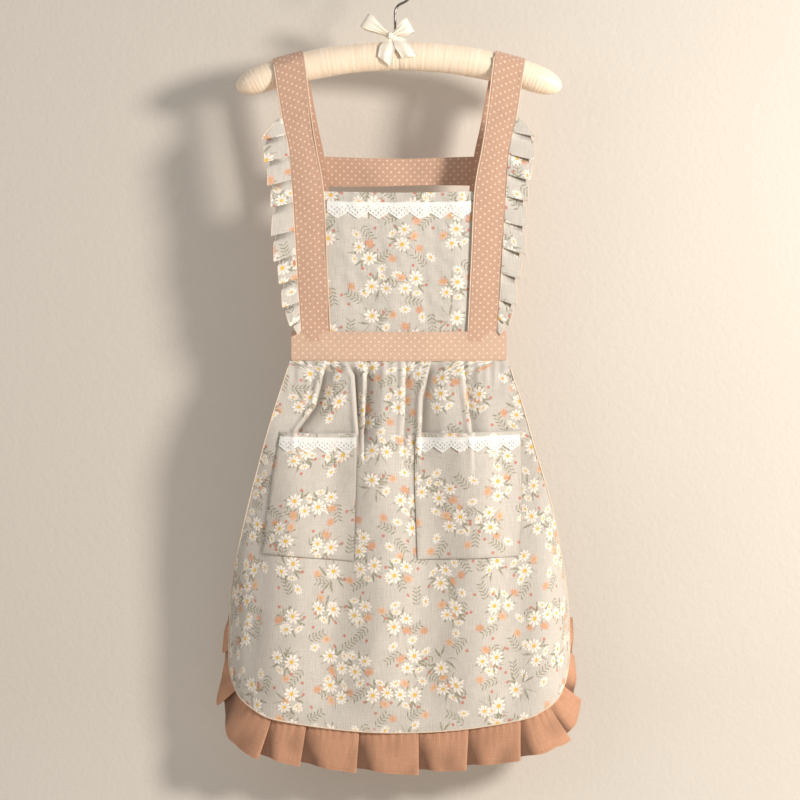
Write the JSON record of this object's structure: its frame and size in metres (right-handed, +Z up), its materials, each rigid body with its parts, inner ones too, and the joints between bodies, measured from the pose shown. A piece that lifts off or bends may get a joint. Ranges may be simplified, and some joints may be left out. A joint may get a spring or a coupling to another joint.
{
  "type": "apron on hanger",
  "caption": "Gathered pinafore apron with shoulder ruffles, lace trim, pockets and a ruffled hem, hung on a padded satin coat hanger with a swivel wire hook.",
  "frame": {"origin": "inside top of the hanger's wire hook, where it rests on a rail", "axes": "+Z up along the hook's stem, +X to the right seen from the front, the apron's front faces -Y"},
  "size_m": [0.4659, 0.1054, 1.0112],
  "materials": {
    "hook_steel": "dull grey wire",
    "bush_brass": "plain",
    "core_wood": "bare beech",
    "wadding": "polyester wadding",
    "satin": "ruched satin with a soft sheen",
    "ribbon": "satin ribbon",
    "printed_linen": "linen with a small floral print",
    "dotted_cotton": "cotton with small light dots",
    "plain_cotton": "plain terracotta cotton",
    "piping": "cream cord",
    "lace": "cotton lace"
  },
  "bodies": {
    "hook": {"hook_wire": "hook_steel", "hook_washer": "hook_steel"},
    "hanger": {"hook_bush": "bush_brass", "hanger_core": "core_wood", "padding_left": "wadding", "padding_right": "wadding", "cover_left": "satin", "cover_right": "satin", "bow_loops": "ribbon", "bow_tails": "ribbon", "bow_knot": "ribbon"},
    "apron": {"strap_left": "dotted_cotton", "strap_right": "dotted_cotton", "strap_piping_left": "piping", "strap_piping_right": "piping", "back_band": "dotted_cotton", "bib_panel": "printed_linen", "bib_facing": "printed_linen", "bib_lace": "lace", "shoulder_ruffle_left": "printed_linen", "shoulder_ruffle_right": "printed_linen", "waistband_front": "dotted_cotton", "waistband_facing": "dotted_cotton", "skirt_panel": "printed_linen", "skirt_piping": "piping", "hem_ruffle": "plain_cotton", "pocket_left": "printed_linen", "pocket_right": "printed_linen", "pocket_facing_left": "printed_linen", "pocket_facing_right": "printed_linen", "pocket_lace_left": "lace", "pocket_lace_right": "lace", "waist_tie_left": "dotted_cotton", "waist_tie_right": "dotted_cotton"}
  },
  "joints": [
    {"name": "hook_swivel", "type": "hinge", "parent": "hook", "child": "hanger", "pos_m": [0, 0, -0.111], "axis": [0, 0, 1], "continuous": true},
    {"name": "apron_lift", "type": "slide", "parent": "hanger", "child": "apron", "axis": [0, 0, 1], "range_m": [0, 0.08]}
  ]
}
